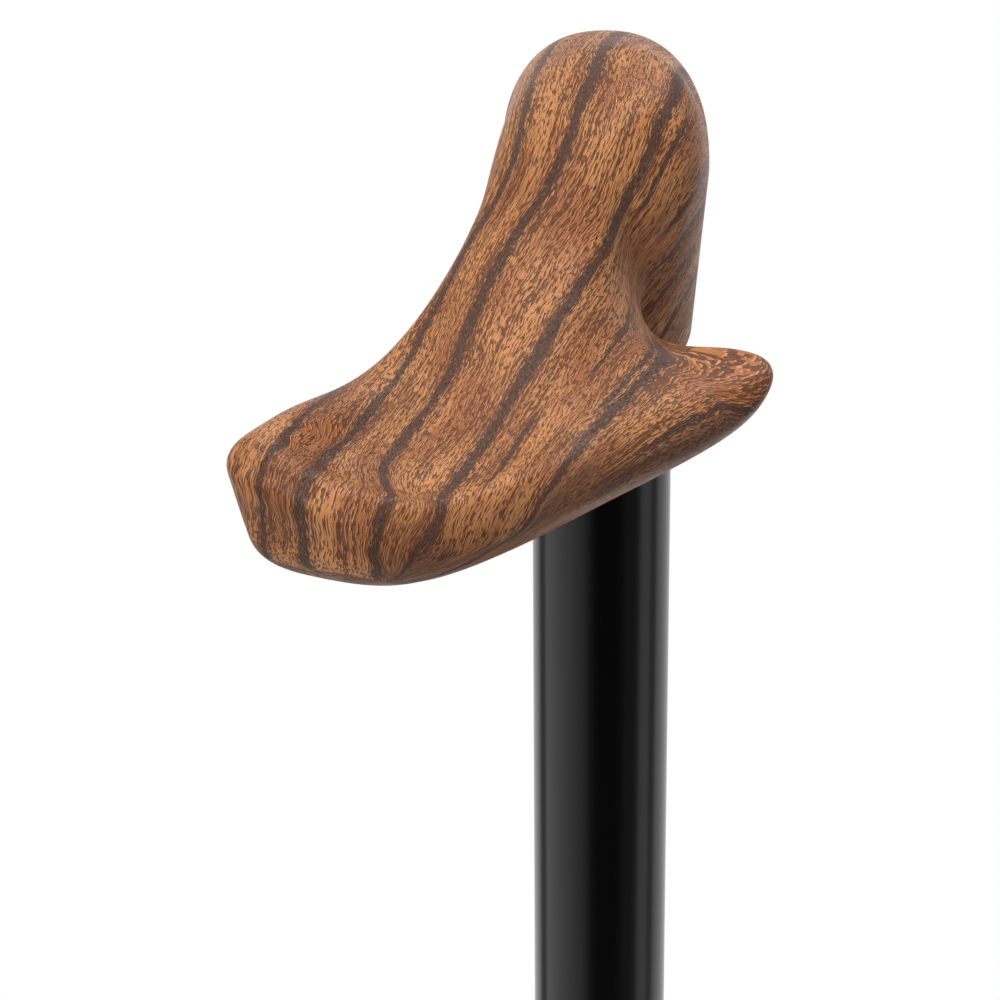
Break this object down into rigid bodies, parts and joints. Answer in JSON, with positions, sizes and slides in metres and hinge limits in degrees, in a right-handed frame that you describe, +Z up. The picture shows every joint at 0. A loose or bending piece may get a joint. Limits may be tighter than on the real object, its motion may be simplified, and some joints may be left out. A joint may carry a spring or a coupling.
{
  "type": "ergonomic walking stick",
  "caption": "Height-adjustable walking stick with an anatomical left-hand grip, telescoping tubes with a snap button, locking collar and rubber ferrule.",
  "frame": {"origin": "centre of the ferrule's foot, on the shaft's axis, at the middle height setting", "axes": "+Z up the shaft to the grip, +Y to the rounded nose of the grip, +X to its thumb side; the heel of the palm plate points to -Y"},
  "size_m": [0.0615, 0.1148, 0.8923],
  "materials": {
    "wood_film": "satin orange-brown wood-effect film with dark grain bands, on a moulded plastic grip",
    "black_anodised": "gloss black anodised",
    "black_plastic": "fine matt moulded",
    "pale_plastic": "natural moulded",
    "zinc_steel": "bright zinc plated",
    "spring_steel": "bright tempered strip",
    "brass": "turned",
    "rubber": "matt"
  },
  "bodies": {
    "stick_top": {"handle_body": "wood_film", "handle_threaded_insert": "brass", "tube_top_plug": "pale_plastic", "handle_bolt_washer": "zinc_steel", "handle_bolt": "zinc_steel", "upper_tube": "black_anodised", "threaded_sleeve": "black_plastic", "sleeve_pin_left": "zinc_steel", "sleeve_pin_right": "zinc_steel"},
    "lower_shaft": {"lower_tube": "black_anodised", "lower_tube_bush": "pale_plastic", "button_spring": "spring_steel", "lower_tube_end_plug": "pale_plastic", "ferrule_washer": "zinc_steel", "ferrule": "rubber"},
    "snap_button": {"height_button": "zinc_steel"},
    "clamp_ring": {"compression_ring": "pale_plastic"},
    "lock_collar": {"locking_collar": "black_plastic"}
  },
  "joints": [
    {"name": "height_slide", "type": "slide", "parent": "stick_top", "child": "lower_shaft", "axis": [0, 0, 1], "range_m": [-0.0762, 0.0762]},
    {"name": "button_press", "type": "slide", "parent": "lower_shaft", "child": "snap_button", "axis": [0, 1, 0], "range_m": [0, 0.0032], "stiffness_N_per_m": 1500, "springref_m": -0.004, "deforming": ["button_spring"]},
    {"name": "ring_slide", "type": "slide", "parent": "stick_top", "child": "clamp_ring", "axis": [0, 0, -1], "range_m": [0, 0.0025]},
    {"name": "collar_turn", "type": "hinge", "parent": "clamp_ring", "child": "lock_collar", "pos_m": [0, 0, 0.3765], "axis": [0, 0, -1], "range_deg": [0, 360]}
  ],
  "couplings": [
    {"joint": "collar_turn", "follows": "ring_slide", "rad_per_m": 2513.3}
  ]
}
